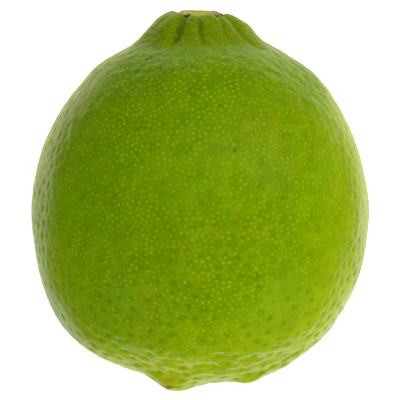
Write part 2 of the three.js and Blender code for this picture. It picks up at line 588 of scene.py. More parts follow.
SPOTS = (
    Spot(152.6, -21.5, 2.0, OLIVE, 0.62),
    Spot(150.0, -17.0, 1.5, OLIVE, 0.5),
    Spot(154.0, -23.6, 0.4, SCAR_BROWN, 0.9),
    Spot(154.3, -21.8, 0.4, SCAR_BROWN, 0.9),
    Spot(143.8, 27.0, 0.8, AMBER, 0.5),
    Spot(145.5, 34.0, 0.6, FAINT_BROWN, 0.4),
    # The pale specks among these are painted glints.
    Spot(125.8, 4.0, 0.22, PAINTED_GLINT, 0.7),
    Spot(59.2, 12.5, 0.4, PAINTED_GLINT, 0.8),
    Spot(61.2, 12.8, 0.4, SPECK_DARK, 0.7),
    Spot(76.6, -32.0, 0.3, FAINT_GLINT, 0.7),
    Spot(95.8, -35.0, 0.32, FAINT_GLINT, 0.5),
    Spot(94.3, -34.0, 0.3, FAINT_GLINT, 0.4),
    Spot(56.8, 49.5, 0.7, FAINT_BROWN, 0.5),
)

# Broad patches of painted light and shade, partly the rind's own tone: each scales red, green and gloss.
PAINTED_LIGHT_PATCHES = (
    PaintedLightPatch(68.0, 4.0, 32.0, 1.32, 1.2),
    PaintedLightPatch(100.0, 23.0, 34.0, 0.82, 0.9, 0.8),
    PaintedLightPatch(123.0, 0.0, 22.0, 0.84, 0.92),
    PaintedLightPatch(90.0, -22.0, 24.0, 0.95, 0.97),
    PaintedLightPatch(121.0, 62.0, 26.0, 1.29, 1.2, 1.45),
    PaintedLightPatch(114.0, -60.0, 30.0, 1.24, 1.11, 0.92),
    PaintedLightPatch(95.0, -84.0, 34.0, 1.28, 1.15, 1.1),
    PaintedLightPatch(135.0, 2.0, 15.0, 1.13, 1.07, 2.0),
    PaintedLightPatch(147.0, -20.0, 20.0, 1.4, 1.14),
    PaintedLightPatch(152.0, -20.0, 9.0, 1.0, 1.0, 0.5),
    PaintedLightPatch(147.0, 38.0, 20.0, 1.15, 1.03),
    PaintedLightPatch(58.0, 62.0, 18.0, 1.18, 1.12, 1.12),
    PaintedLightPatch(26.0, 15.0, 16.0, 1.22, 1.08),
    PaintedLightPatch(30.0, 60.0, 15.0, 1.2, 1.12, 1.3),
    PaintedLightPatch(33.0, -66.0, 22.0, 1.04, 1.06, 0.36),
)


@dataclass(frozen=True)
class RindFinish:
    """Waxy green rind: deep green, yellower to the stylar end, pale glands; shade painted in pits, furrows,
    hollow.

    Courses run over millimetres along the fruit or to its side, over a distance, or over a strength.
    """

    deep: Colour = (134, 181, 0)
    ripe: Colour = (162, 189, 0)
    neck: Colour = (150, 178, 12)
    gland: Colour = (184, 212, 0)
    # Painted shade: the darker green laid in the pits.
    pit: Colour = (98, 144, 0)
    # Painted shade: the darker green laid in the furrows of the neck.
    furrow: Colour = (78, 108, 0)
    yellowed: Colour = (160, 178, 0)
    # Painted shade: the dark brown laid in the hollow under the calyx.
    hollow: Colour = (64, 56, 6)
    dimmer: Tint = (0.8, 0.84, 0.9, 1.0)
    greener: Tint = (0.84, 1.0, 0.9, 1.0)
    stippled: Tint = (0.68, 0.76, 0.6, 1.0)
    ripening_scale: float = 0.07
    ripening_to_side: float = 0.35 / 27.5
    ripening_along: float = -0.3 / 30.0
    ripening: Course = (0.1, 0.95)
    mottle: Cloud = Cloud(0.4, 4.0, 0.6, (0.32, 0.68))
    fresh_patches: Cloud = Cloud(0.75, 3.0, 0.6, (0.42, 0.62))
    yellow_patches: Cloud = Cloud(0.9, 3.0, 0.6, (0.52, 0.72, 0.0, 0.4))
    neck_patches: Cloud = Cloud(1.5, 3.0, 0.6, (0.5, 0.66))
    neck_patches_along: Course = (24.0, 28.0, 0.0, 0.4)
    neck_along: Course = (26.5, 30.0, 0.0, 0.8)
    stipple: Cloud = Cloud(2.6, 2.0, 0.5, (0.4, 0.6))
    stipple_along: Course = (20.0, 25.0, 0.0, 0.9)
    # How deep a furrow must be for its painted shade.
    furrow_shading: Course = (0.25, 1.0, 0.0, 0.6)
    hollow_shade_across: Course = (3.9, 4.9, 1.0, 0.0)
    hollow_shade_along: Course = (29.0, 30.0)
    waxing: Cloud = Cloud(2.2, 3.0, 0.5, (0.3, 0.7, 0.25, 0.37))
    neck_dulling: Course = (26.5, 29.5, 0.0, 0.14)
    shine_along: Course = (-4.0, 18.0, 0.25, 0.135)
    shine_to_side: Course = (0.0, 22.0, 1.0, 0.88)
    shine_in_pit: Course = (0.0, 0.8, 1.0, 0.2)
    sheen_tint: Tint = (1.0, 0.85, 0.05, 1.0)
    sheen: float = 0.4
    depth_share: float = 0.12
    depth: float = 0.9
    depth_by_colour: tuple[float, float, float] = (1.0, 1.2, 0.25)
    gland_radius: float = 0.29
    gland_colouring: float = 0.85
    gland_height: float = 0.009
    pit_radius: float = 0.7
    pit_painted_shade: float = 0.55
    pit_height: float = -0.03
    dot_size: Course = (0.0, 1.0, 0.75, 1.15)
    dot_edge: tuple[float, float] = (0.15, 1.15)
    relief_scale: float = 1.1
    ripples_to_side: Course = (12.0, 24.0, 0.035, 0.014)
    ripples_along: Course = (-6.0, -18.0, 0.0, 0.02)
    lumps_along: Course = (25.5, 29.0, 0.0, 0.28)
    grain_scale: float = 3.5
    grain_height: float = 0.004
    spot_raggedness: Cloud = Cloud(2.0, 3.0, 0.5, (0.3, 0.7, 0.6, 1.5))
    spot_edge: tuple[float, float] = (0.4, 1.2)
    spots: tuple[Spot, ...] = SPOTS
    painted_light_patches: tuple[PaintedLightPatch, ...] = PAINTED_LIGHT_PATCHES

    def material(self, centre: Vector, spot_places: list[Vector]) -> bpy.types.Material:
        """Builds the rind's material.

        Args:
            centre: the middle of the fruit's body, in metres.
            spot_places: where each spot is on the rind, in metres.

        Returns:
            The material.
        """
        graph = PieceGraph("waxy_rind", centre)
        gland = self.dots(graph, "gland", self.gland_radius)
        pit = self.dots(graph, "pit", self.pit_radius)
        colour = self.spotted(graph, self.colour(graph, gland, pit), spot_places)
        dulling = graph.ramp(graph.along, *self.neck_dulling)
        height = self.relief(graph, gland, pit)
        bump = graph.add("ShaderNodeBump", {"Strength": 1.0, "Distance": MM, "Height": height})
        graph.principled(
            {
                "Base Color": colour,
                "Roughness": graph.sum(graph.cloud(self.waxing), dulling),
                "Specular IOR Level": self.shine(graph, pit),
                "Sheen Weight": self.sheen,
                "Sheen Tint": self.sheen_tint,
                "Subsurface Weight": self.depth_share,
                "Subsurface Radius": self.depth_by_colour,
                "Subsurface Scale": self.depth * MM,
                "Normal": bump.outputs[0],
            }
        )
        return graph.material

    def dots(self, graph: PieceGraph, name: str, radius: float) -> bpy.types.NodeSocket:
        """Draws a soft round dot about each centre that the mesh's faces carry.

        Args:
            graph: the material's graph.
            name: the attribute that holds the nearest centre.
            radius: the dot's radius in millimetres.

        Returns:
            1 in the middle of a dot, falling to 0 at its edge, times the dot's own strength.
        """
        away = graph.distance(graph.place, graph.attribute(name).outputs["Vector"])
        strength = graph.attribute(name + "_strength").outputs["Fac"]
        share = graph.math("DIVIDE", away, graph.ramp(strength, *self.dot_size))
        inner, outer = (edge * radius * MM for edge in self.dot_edge)
        return graph.times(graph.ramp(share, inner, outer, 1.0, 0.0), strength)

    def patch(self, graph: PieceGraph, shade: PaintedLightPatch) -> bpy.types.NodeSocket:
        """Gives how far each point is in a patch of painted light and shade.

        Args:
            graph: the material's graph.
            shade: the patch of painted light and shade.

        Returns:
            1 in the middle of the patch, falling to 0 at its edge.
        """
        outward = graph.vector("NORMALIZE", graph.in_mm, (0.0, 0.0, 0.0)).outputs[0]
        away = graph.distance(outward, tuple(direction(shade.polar, shade.turn)))
        return graph.ramp(away, 0.0, math.radians(shade.reach), 1.0, 0.0)

    def shine(self, graph: PieceGraph, pit: object) -> bpy.types.NodeSocket:
        """Gives how strongly the wax reflects: most at the stylar end, and little in a pit.

        Args:
            graph: the material's graph.
            pit: how far the point is in a pit.

        Returns:
            The specular level.
        """
        shine = graph.ramp(graph.along, *self.shine_along)
        shine = graph.times(shine, graph.ramp(graph.side, *self.shine_to_side))
        for shade in self.painted_light_patches:
            share = self.patch(graph, shade)
            shine = graph.times(shine, graph.ramp(share, 0.0, 1.0, 1.0, shade.gloss))
        return graph.times(shine, graph.ramp(pit, *self.shine_in_pit))

    def relief(self, graph: PieceGraph, gland: object, pit: object) -> bpy.types.NodeSocket:
        """Adds up the finest relief, in millimetres.

        Args:
            graph: the material's graph.
            gland: how far the point is up a gland.
            pit: how far it is down a pit.

        Returns:
            The height of the relief.
        """
        aside = graph.math("ABSOLUTE", graph.side)
        rippled = graph.sum(
            graph.ramp(aside, *self.ripples_to_side), graph.ramp(graph.along, *self.ripples_along)
        )
        ripples = graph.times(graph.noise(self.relief_scale, detail=1.0), rippled)
        on_neck = graph.ramp(graph.along, *self.lumps_along)
        lumps = graph.times(graph.noise(self.relief_scale, detail=2.0), on_neck)
        grain = graph.noise(self.grain_scale, detail=2.0, roughness=0.6)
        grain = graph.times(grain, self.grain_height)
        domes = graph.times(gland, self.gland_height)
        return graph.sum(ripples, lumps, grain, domes, graph.times(pit, self.pit_height))

    def colour(self, graph: PieceGraph, gland: object, pit: object) -> bpy.types.NodeSocket:
        """Builds the rind's colour from ripeness, mottling, neck and glands, with painted shade in furrows
        and pits.

        Args:
            graph: the material's graph.
            gland: how far the point is in a gland.
            pit: how far it is in a pit.

        Returns:
            The colour.
        """
        ripeness = graph.sum(
            graph.times(graph.side, self.ripening_to_side),
            graph.times(graph.along, self.ripening_along),
            graph.noise(self.ripening_scale, detail=2.0),
        )
        colour = graph.mix(graph.ramp(ripeness, *self.ripening), linear(self.deep), linear(self.ripe))
        dimmed = graph.mix(1.0, colour, self.dimmer, "MULTIPLY")
        colour = graph.mix(graph.cloud(self.mottle), dimmed, colour)
        greened = graph.mix(1.0, colour, self.greener, "MULTIPLY")
        colour = graph.mix(graph.cloud(self.fresh_patches), colour, greened)
        colour = graph.mix(graph.cloud(self.yellow_patches), colour, linear(self.yellowed))
        colour = graph.mix(graph.ramp(graph.along, *self.neck_along), colour, linear(self.neck))
        pale = graph.ramp(graph.along, *self.neck_patches_along)
        pale = graph.times(graph.cloud(self.neck_patches), pale)
        colour = graph.mix(pale, colour, linear(self.yellowed))
        stipple = graph.ramp(graph.along, *self.stipple_along)
        stipple = graph.times(graph.cloud(self.stipple), stipple)
        colour = graph.mix(stipple, colour, self.stippled, "MULTIPLY")
        # Painted light and shade: broad patches lighten or darken the colour, partly as the rind's own
        # tone.
        for shade in self.painted_light_patches:
            share = self.patch(graph, shade)
            colour = graph.mix(share, colour, (shade.red, shade.green, 1.0, 1.0), "MULTIPLY")
        # Painted shade in the furrows: darker green where they cut deepest.
        depth = graph.attribute("furrow").outputs["Fac"]
        colour = graph.mix(graph.ramp(depth, *self.furrow_shading), colour, linear(self.furrow))
        # Painted shade in the hollow under the calyx: dark brown near the axis at the top of the neck.
        sideways = graph.vector("MULTIPLY", graph.in_mm, (1.0, 0.0, 1.0)).outputs[0]
        from_axis = graph.vector("LENGTH", sideways, (0.0, 0.0, 0.0)).outputs["Value"]
        inside = graph.ramp(from_axis, *self.hollow_shade_across)
        hollow = graph.times(inside, graph.ramp(graph.along, *self.hollow_shade_along))
        colour = graph.mix(hollow, colour, linear(self.hollow))
        # Painted shade in the pits: darker green by each pit's strength.
        colour = graph.mix(graph.times(pit, self.pit_painted_shade), colour, linear(self.pit))
        return graph.mix(graph.times(gland, self.gland_colouring), colour, linear(self.gland))

    def spotted(
        self, graph: PieceGraph, colour: object, spot_places: list[Vector]
    ) -> bpy.types.NodeSocket:
        """Lays the spots over the rind's colour, each with a ragged edge.

        Args:
            graph: the material's graph.
            colour: the rind's colour.
            spot_places: where each spot is, in metres.

        Returns:
            The colour with its spots.
        """
        ragged = graph.cloud(self.spot_raggedness)
        for spot, middle in zip(self.spots, spot_places):
            away = graph.times(graph.distance(graph.place, middle), ragged)
            inner, outer = (edge * spot.radius * MM for edge in self.spot_edge)
            share = graph.ramp(away, inner, outer, spot.strength, 0.0)
            colour = graph.mix(share, colour, linear(spot.colour))
        return colour


@dataclass
class Rind:
    """The fruit's rind, modelled finely round its solid.

    Courses run over degrees from the stem axis, or over the share of the way to the ripe or left side.
    """

    form: RindForm
    finish: RindFinish
    first_cuts: int = 63
    second_cuts: int = 1
    neck_crowding: float = 0.4
    scatter_radius: float = 28.5
    pits: Scatter = Scatter(spacing=2.4, seed=5)
    pit_radius: float = 1.1
    pit_depth: float = 0.125
    pit_size_range: tuple[float, float] = (0.45, 1.15)
    pits_on_neck: Course = (15.0, 28.0, 0.4, 1.0)
    pits_to_ripe_side: tuple[Course, Course] = ((0.2, 0.7, 0.0, 0.15), (0.5, 0.85, 0.0, 0.3))
    pits_ripe_until: Course = (95.0, 118.0, 1.0, 0.0)
    pits_to_left: Course = (0.5, 0.85, 1.0, 0.65)
    # Where the pits show strongly, in painted shade and relief: towards the stylar end and at the sides.
    pits_dark_from: Course = (60.0, 125.0)
    pits_dark_aside: tuple[Course, Course] = ((0.72, 0.9), (40.0, 60.0))
    pit_paleness: float = 0.25
    glands: Scatter = Scatter(spacing=1.08, seed=8)
    gland_size_range: tuple[float, float] = (0.25, 1.1)
    glands_by_end: Course = (100.0, 150.0, 1.0, 0.6)
    glands_by_neck: Course = (25.0, 36.0, 0.5, 1.25)
    glands_on_body: Course = (50.0, 90.0, 1.0, 0.8)
    glands_to_sides: Course = (0.25, 0.6, 1.0, 0.78)
    glands_middle: float = -0.1
    glands_ripe: tuple[Course, Course] = ((92.0, 112.0), (0.1, 0.45))
    glands_lost_ripe: float = 0.2
    crumple_height: float = 0.065
    crumple_length: float = 2.4
    crumple_to_left: Course = (0.3, 0.8, 0.0, 0.7)
    crumple_left_from: Course = (55.0, 80.0)
    crumple_by_neck: tuple[Course, Course] = ((26.0, 34.0, 0.0, 0.9), (52.0, 70.0, 1.0, 0.0))
    lump_height: float = 0.07
    lump_length: float = 1.4
    lumps_on_neck: Course = (18.0, 32.0, 1.0, 0.0)
    wrinkle_height: float = 0.13
    wrinkle_gap: float = 1.9
    wrinkle_length: float = 7.5
    wrinkle_roundness: float = 0.25
    wrinkle_steepness: float = 2.4
    wrinkle_warp: float = 0.4
    wrinkle_warp_scale: float = 0.7
    wrinkle_ridges: float = 0.42
    wrinkle_lumps: float = 1.5
    wrinkle_lump_scale: float = 0.9
    wrinkle_lump_shift: float = 40.0
    wrinkles_from: Course = (118.0, 138.0)
    wrinkles_to_left: Course = (0.15, 0.42, 1.0, 0.55)
    pit_units: np.ndarray = field(default_factory=lambda: np.empty((0, 3)))
    pit_sizes: np.ndarray = field(default_factory=lambda: np.empty(0))
    centre: Vector = field(default_factory=Vector)

    def build(self) -> bpy.types.Object:
        """Models the rind, with its pits, as one closed mesh in place.

        Returns:
            The piece.
        """
        bpy.ops.object.select_all(action="DESELECT")
        bpy.ops.mesh.primitive_cube_add(size=2.0, location=(0.0, 0.0, 0.0))
        piece = bpy.context.object
        piece.name = piece.data.name = "lime_rind"
        bpy.ops.object.mode_set(mode="EDIT")
        bpy.ops.mesh.select_all(action="SELECT")
        bpy.ops.mesh.subdivide(number_cuts=self.first_cuts)
        bpy.ops.mesh.subdivide(number_cuts=self.second_cuts)
        bpy.ops.object.mode_set(mode="OBJECT")
        units = self.even_directions(self.read(piece))
        self.pit_units = self.pits.directions(self.scatter_radius)
        self.pit_sizes = self.chosen_sizes(self.pit_units)
        self.centre = self.find_centre(units)
        self.write(piece, self.surface(units))
        self.note_dots(piece, units)
        bpy.ops.object.shade_smooth()
        return piece

    def read(self, piece: bpy.types.Object) -> np.ndarray:
        """Reads where a piece's vertices are.

        Args:
            piece: the piece.

        Returns:
            Its vertices, one to a row.
        """
        flat = np.empty(len(piece.data.vertices) * 3)
        piece.data.vertices.foreach_get("co", flat)
        return flat.reshape(-1, 3)

    def write(self, piece: bpy.types.Object, points: np.ndarray) -> None:
        """Moves a piece's vertices to new points in metres."""
        piece.data.vertices.foreach_set("co", points.ravel())
        piece.data.update()

    def even_directions(self, cube: np.ndarray) -> np.ndarray:
        """Turns the points of a gridded cube into directions of an even grid, closer at the neck.

        Args:
            cube: points on a cube that reaches from -1 to 1.

        Returns:
            Unit directions, one to a row.
        """
        unit = np.tan(cube * math.pi / 4.0)
        unit /= np.linalg.norm(unit, axis=1, keepdims=True)
        polar = polar_degrees(unit)
        turn = turn_radians(unit)
        polar = np.radians(polar * (1.0 - self.neck_crowding * ramp(polar, 0.0, 90.0, 1.0, 0.0)))
        across = np.sin(polar)
        return np.column_stack((across * np.sin(turn), np.cos(polar), across * np.cos(turn)))

    def chosen_sizes(self, units: np.ndarray) -> np.ndarray:
        """Draws how large each pit is: about half to full size, and smaller on the neck and ripe side.

        Args:
            units: the direction of each pit.

        Returns:
            A share of the full size for each.
        """
        polar = polar_degrees(units)
        sizes = np.random.default_rng(self.pits.seed + 1).uniform(*self.pit_size_range, len(units))
        ripe_side = sum(ramp(units[:, 0], *course) for course in self.pits_to_ripe_side)
        ripe_side = ripe_side * ramp(polar, *self.pits_ripe_until)
        return sizes * ramp(polar, *self.pits_on_neck) * (1.0 - ripe_side)

    def pit_drop(self, units: np.ndarray) -> np.ndarray:
        """Gives how far the pits lower the rind.

        Args:
            units: unit directions, one to a row.

        Returns:
            A depth in millimetres for each.
        """
        pit = nearest(self.pit_units, units)
        away = np.linalg.norm(units - self.pit_units[pit], axis=1) * self.scatter_radius
        bowl = np.clip(1.0 - (away / self.pit_radius) ** 2, 0.0, 1.0) ** 2
        return self.pit_depth * self.pit_sizes[pit] * bowl * ramp(-units[:, 0], *self.pits_to_left)

    def crumple(self, units: np.ndarray) -> np.ndarray:
        """Gives the small irregular relief between the pits, with coarser lumps on the neck.

        Args:
            units: unit directions, one to a row.

        Returns:
            A height in millimetres for each.
        """
        polar = polar_degrees(units)
        smoother = ramp(-units[:, 0], *self.crumple_to_left) * ramp(polar, *self.crumple_left_from)
        rise, fall = self.crumple_by_neck
        rougher = 1.0 + ramp(polar, *rise) * ramp(polar, *fall)
        relief = self.crumple_height * (1.0 - smoother) * rougher
        relief = relief * fractal(units * (self.scatter_radius / self.crumple_length))
        lumps = fractal(units * (self.scatter_radius / self.lump_length))
        return relief + self.lump_height * ramp(polar, *self.lumps_on_neck) * lumps

    def wrinkles(self, units: np.ndarray) -> np.ndarray:
        """Gives the low lumps and wavy ridges that run round the stylar end.

        Args:
            units: unit directions, one to a row.

        Returns:
            A height in millimetres for each.
        """
        polar = polar_degrees(units)
        turn = turn_radians(units)
        down = np.radians(polar) * self.scatter_radius / self.wrinkle_gap
        about = self.wrinkle_length
        points = np.column_stack((down, about * np.cos(turn), about * np.sin(turn)))
        points += self.wrinkle_warp * fractal(self.wrinkle_warp_scale * points)[:, None]
        noise = np.array([space_noise.noise(point) for point in points.tolist()])
        ridged = 1.0 - self.wrinkle_steepness * np.hypot(noise, self.wrinkle_roundness)
        lumps = fractal(self.wrinkle_lump_scale * points + self.wrinkle_lump_shift)
        height = self.wrinkle_height * ramp(polar, *self.wrinkles_from)
        height *= ramp(-units[:, 0], *self.wrinkles_to_left)
        return height * (self.wrinkle_ridges * ridged + self.wrinkle_lumps * lumps)

    def find_centre(self, units: np.ndarray) -> Vector:
        """Finds the middle of the body so that the rind fills its solid's box.

        Args:
            units: the direction of each vertex.

        Returns:
            The middle, in metres.
        """
        low, high = (np.array(corner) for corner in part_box(Node.FRUIT.value))
        points = units * (self.form.radius(units) * MM)[:, None]
        middle = (points.min(axis=0) + points.max(axis=0)) / 2.0
        centre = (low + high) / 2.0 - middle
        centre[2] = (self.form.body_radius - self.form.resting_press) * MM
        return Vector(centre)

    def surface(self, units: np.ndarray) -> np.ndarray:
        """Gives the finished surface.

        Args:
            units: unit directions, one to a row.

        Returns:
            The surface's point in each direction, in metres.
        """
        radius = self.form.radius(units) - self.pit_drop(units) + self.crumple(units) + self.wrinkles(units)
        points = units * (radius * MM)[:, None] + np.array(self.centre)
        points[:, 2] = np.maximum(points[:, 2], 0.0)
        return points

    def gland_strengths(self, units: np.ndarray) -> np.ndarray:
        """Draws how strongly each gland shows: less on the neck, at the stylar end and to the sides.

        Args:
            units: the direction of each gland.

        Returns:
            A strength for each.
        """
        polar = polar_degrees(units)
        strengths = np.random.default_rng(self.glands.seed + 1).uniform(*self.gland_size_range, len(units))
        for course in (self.glands_by_end, self.glands_by_neck, self.glands_on_body):
            strengths *= ramp(polar, *course)
        strengths *= ramp(np.abs(units[:, 0] - self.glands_middle), *self.glands_to_sides)
        towards_end, towards_side = self.glands_ripe
        ripe = ramp(polar, *towards_end) * ramp(units[:, 0], *towards_side)
        return strengths * (1.0 - self.glands_lost_ripe * ripe)

    def pit_strengths(self) -> np.ndarray:
        """Gives each pit's strength in painted shade, bump and shine: less near the neck, but not at the
        sides.

        Returns:
            A strength for each pit.
        """
        polar = polar_degrees(self.pit_units)
        to_side, from_neck = self.pits_dark_aside
        aside = ramp(np.abs(self.pit_units[:, 0]), *to_side) * ramp(polar, *from_neck)
        shown = np.maximum(ramp(polar, *self.pits_dark_from), aside)
        return self.pit_sizes * (self.pit_paleness + (1.0 - self.pit_paleness) * shown)

    def note_dots(self, piece: bpy.types.Object, units: np.ndarray) -> None:
        """Keeps on the mesh the nearest gland and pit of each face, and the furrows' depth.

        Args:
            piece: the rind.
            units: the direction of each vertex.
        """
        mesh = piece.data
        corners = np.empty(len(mesh.polygons) * 4, dtype=np.int32)
        mesh.loops.foreach_get("vertex_index", corners)
        middles = units[corners.reshape(-1, 4)].mean(axis=1)
        middles /= np.linalg.norm(middles, axis=1, keepdims=True)
        gland_units = self.glands.directions(self.scatter_radius)
        for name, centres, strengths in (
            ("gland", gland_units, self.gland_strengths(gland_units)),
            ("pit", self.pit_units, self.pit_strengths()),
        ):
            owner = nearest(centres, middles)
            place = mesh.attributes.new(name, "FLOAT_VECTOR", "FACE")
            place.data.foreach_set("vector", self.surface(centres)[owner].ravel())
            strength = mesh.attributes.new(name + "_strength", "FLOAT", "FACE")
            strength.data.foreach_set("value", strengths[owner])
        depth = self.form.furrow_depth(units, polar_degrees(units), np.degrees(turn_radians(units)))
        mesh.attributes.new("furrow", "FLOAT", "POINT").data.foreach_set("value", depth)

    def dress(self, piece: bpy.types.Object) -> None:
        """Gives the rind its material and its place in the frame.

        Args:
            piece: the rind.
        """
        spot_units = np.array([direction(spot.polar, spot.turn) for spot in self.finish.spots])
        spot_places = [Vector(place) for place in self.surface(spot_units)]
        piece.data.materials.clear()
        piece.data.materials.append(self.finish.material(self.centre, spot_places))
        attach(piece, "root")
        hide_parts(Node.FRUIT.value)


@dataclass(frozen=True)
class CalyxFinish:
    """Dry sepals and corky scar: straw to tan, greener middle, brown tips, dry rim, painted shade
    underneath.
    """

    straw: Colour = (218, 206, 104)
    tan: Colour = (204, 168, 96)
    green: Colour = (204, 204, 34)
    # The dry rim's tan-brown, also laid on the sides and underside as painted shade.
    edge: Colour = (146, 112, 52)
    brown: Colour = (84, 54, 34)
    tanning_scale: float = 0.55
    tanning_to_side: float = 0.07
    tanning: Course = (0.38, 0.62)
    green_middle: float = 0.1
    green_reach: Course = (0.8, 1.7, 1.0, 0.0)
    dry_rim_and_painted_shade: float = 0.75
    specks: Cloud = Cloud(1.9, 4.0, 0.65, (0.58, 0.7, 0.0, 0.7))
    tips: Course = (2.8, 3.9, 0.0, 0.6)
    mark: tuple[float, float, float] = (-1.45, 0.5, -0.9)
    mark_reach: Course = (0.35, 0.85, 0.9, 0.0)
    grain_scale: float = 5.0
    grain_height: float = 0.08
    roughness: float = 0.75

    def material(self, centre: Vector) -> bpy.types.Material:
        """Builds the calyx's material.

        Args:
            centre: the middle of the calyx, in metres.

        Returns:
            The material.
        """
        graph = PieceGraph("dry_calyx", centre)
        clouds = graph.noise(self.tanning_scale, detail=3.0)
        clouds = graph.sum(clouds, graph.times(graph.side, self.tanning_to_side))
        colour = graph.mix(graph.ramp(clouds, *self.tanning), linear(self.straw), linear(self.tan))
        aside = graph.math("ABSOLUTE", graph.math("SUBTRACT", graph.side, self.green_middle))
        colour = graph.mix(graph.ramp(aside, *self.green_reach), colour, linear(self.green))
        # The dry rim, and painted shade on the sides and underside.
        edge = graph.attribute("edge").outputs["Fac"]
        colour = graph.mix(graph.times(edge, self.dry_rim_and_painted_shade), colour, linear(self.edge))
        colour = graph.mix(graph.cloud(self.specks), colour, linear(self.brown))
        colour = graph.mix(graph.ramp(graph.side, *self.tips), colour, linear(self.brown))
        mark = graph.ramp(graph.distance(graph.in_mm, self.mark), *self.mark_reach)
        colour = graph.mix(mark, colour, linear(self.brown))
        grain = graph.noise(self.grain_scale, detail=5.0, roughness=0.65)
        relief = {"Strength": 1.0, "Distance": self.grain_height * MM, "Height": grain}
        bump = graph.add("ShaderNodeBump", relief)
        graph.principled({"Base Color": colour, "Roughness": self.roughness, "Normal": bump.outputs[0]})
        return graph.material


@dataclass
class CalyxButton:
    """The dry calyx: a disc with five sepal lobes round the raised scar of the stem."""

    finish: CalyxFinish
    radius: float = 3.5
    lobes: int = 5
    lobe_depth: float = 0.4
    lobe_turn: float = -3.0
    notch_depth: float = 0.35
    notch_lift: float = 0.15
    tip_curl: float = 0.02
    middle: float = 32.55
    lean: float = 0.02
    front_reach: float = 0.35
    front_width: float = 0.45
    front_droop: float = 0.25
    left_reach: float = 0.5
    left_width: float = 0.5
    left_turn: float = -75.0
    wrinkle_height: float = 0.05
    wrinkles: float = 23.0
    wrinkle_waves: float = 3.0
    wrinkle_waviness: float = 2.0
    bundle_height: float = 0.06
    bundles: float = 11.0
    bundle_ring: float = 0.27
    bundle_width: float = 0.07
    ridge_height: float = 0.1
    ridge_course: Course = (0.5, 0.75)
    dry_edge: Course = (0.75, 1.0)
    sides: int = 80
    rings: int = 9
    thickness: float = 0.5
    top_profile: tuple[tuple[float, float], ...] = (
        (0.0, 0.24), (0.18, 0.22), (0.3, 0.32), (0.42, 0.44), (0.5, 0.42), (0.58, 0.29), (0.72, 0.22),
        (0.9, 0.16), (1.0, 0.09),
    )
    under_profile: tuple[tuple[float, float], ...] = (
        (0.0, -1.1), (0.38, -1.0), (0.5, -0.45), (0.9, -0.2), (1.0, -0.04),
    )
    centre: Vector = field(default_factory=Vector)

    def build(self, fruit_centre: Vector) -> bpy.types.Object:
        """Models the calyx in the hollow of the neck.

        Args:
            fruit_centre: the middle of the fruit's body, in metres.

        Returns:
            The piece.
        """
        bpy.ops.object.select_all(action="DESELECT")
        bpy.ops.mesh.primitive_circle_add(
            vertices=self.sides, radius=self.radius * MM, fill_type="NGON", location=(0.0, 0.0, 0.0)
        )
        piece = bpy.context.object
        piece.name = piece.data.name = "lime_calyx"
        bpy.ops.object.mode_set(mode="EDIT")
        bpy.ops.mesh.select_all(action="SELECT")
        bpy.ops.mesh.extrude_region_move(TRANSFORM_OT_translate={"value": (0.0, 0.0, self.thickness * MM)})
        self.add_rings()
        bpy.ops.object.mode_set(mode="OBJECT")
        underside = 0.1 * self.thickness * MM
        for face in piece.data.polygons:
            face.select = face.center.z < underside
        bpy.ops.object.mode_set(mode="EDIT")
        self.add_rings()
        bpy.ops.mesh.select_all(action="SELECT")
        bpy.ops.mesh.normals_make_consistent(inside=False)
        bpy.ops.mesh.subdivide(number_cuts=1)
        bpy.ops.object.mode_set(mode="OBJECT")
        self.shape(piece)
        self.centre = fruit_centre + Vector((0.0, self.middle * MM, 0.0))
        piece.rotation_euler = (-math.pi / 2.0, 0.0, 0.0)
        piece.location = self.centre
        bpy.ops.object.transform_apply(location=True, rotation=True, scale=True)
        bpy.ops.object.shade_smooth()
        return piece

    def add_rings(self) -> None:
        """Insets the selected face to its middle in even rings and closes it with a fan."""
        for _ in range(self.rings):
            bpy.ops.mesh.inset(thickness=self.radius * MM / (self.rings + 1))
        bpy.ops.mesh.poke()

    def shape(self, piece: bpy.types.Object) -> None:
        """Moves the disc's vertices into sepals, the ring of the scar and wrinkles.

        Args:
            piece: the flat disc, its middle at the origin and its top upwards.
        """
        edge = piece.data.attributes.new("edge", "FLOAT", "POINT")
        for vertex in piece.data.vertices:
            across = math.hypot(vertex.co.x, vertex.co.y) / (self.radius * MM)
            angle = math.atan2(vertex.co.x, -vertex.co.y)
            level = vertex.co.z / (self.thickness * MM)
            # The dry rim, and the sides and underside, which take the edge colour as painted shade.
            edge.data[vertex.index].value = min(1.0, ramp(across, *self.dry_edge) + 1.0 - level)
            outward = across * self.reach(across, angle) * MM
            height = self.height(across, angle, level) * MM
            vertex.co = Vector((math.sin(angle) * outward, -math.cos(angle) * outward, height))
        piece.data.update()

    def lobe(self, angle: float) -> float:
        """Gives 1 at the middle of a sepal and -1 between two."""
        return math.cos(self.lobes * (angle - math.radians(self.lobe_turn)))

    def notch(self, angle: float) -> float:
        """Gives 1 in the notch between two sepals and 0 on them."""
        return max(0.0, -self.lobe(angle)) ** 6

    def front(self, angle: float) -> float:
        """Gives 1 at the front sepal, falling to 0 beside it."""
        return bell(angle - math.radians(self.lobe_turn), self.front_width)

    def reach(self, across: float, angle: float) -> float:
        """Gives the radius of the rim for a point of the calyx, where its sepals make it longer.

        Args:
            across: how far out the point is, from 0 in the middle to 1 at the rim.
            angle: its angle from the front, in radians.

        Returns:
            A radius in millimetres.
        """
        left = bell(angle - math.radians(self.left_turn), self.left_width)
        sepals = self.lobe_depth * self.lobe(angle) + self.front_reach * self.front(angle)
        notches = self.notch_depth * self.notch(angle) * across**4
        return self.radius + (sepals + self.left_reach * left) * across**2 - notches

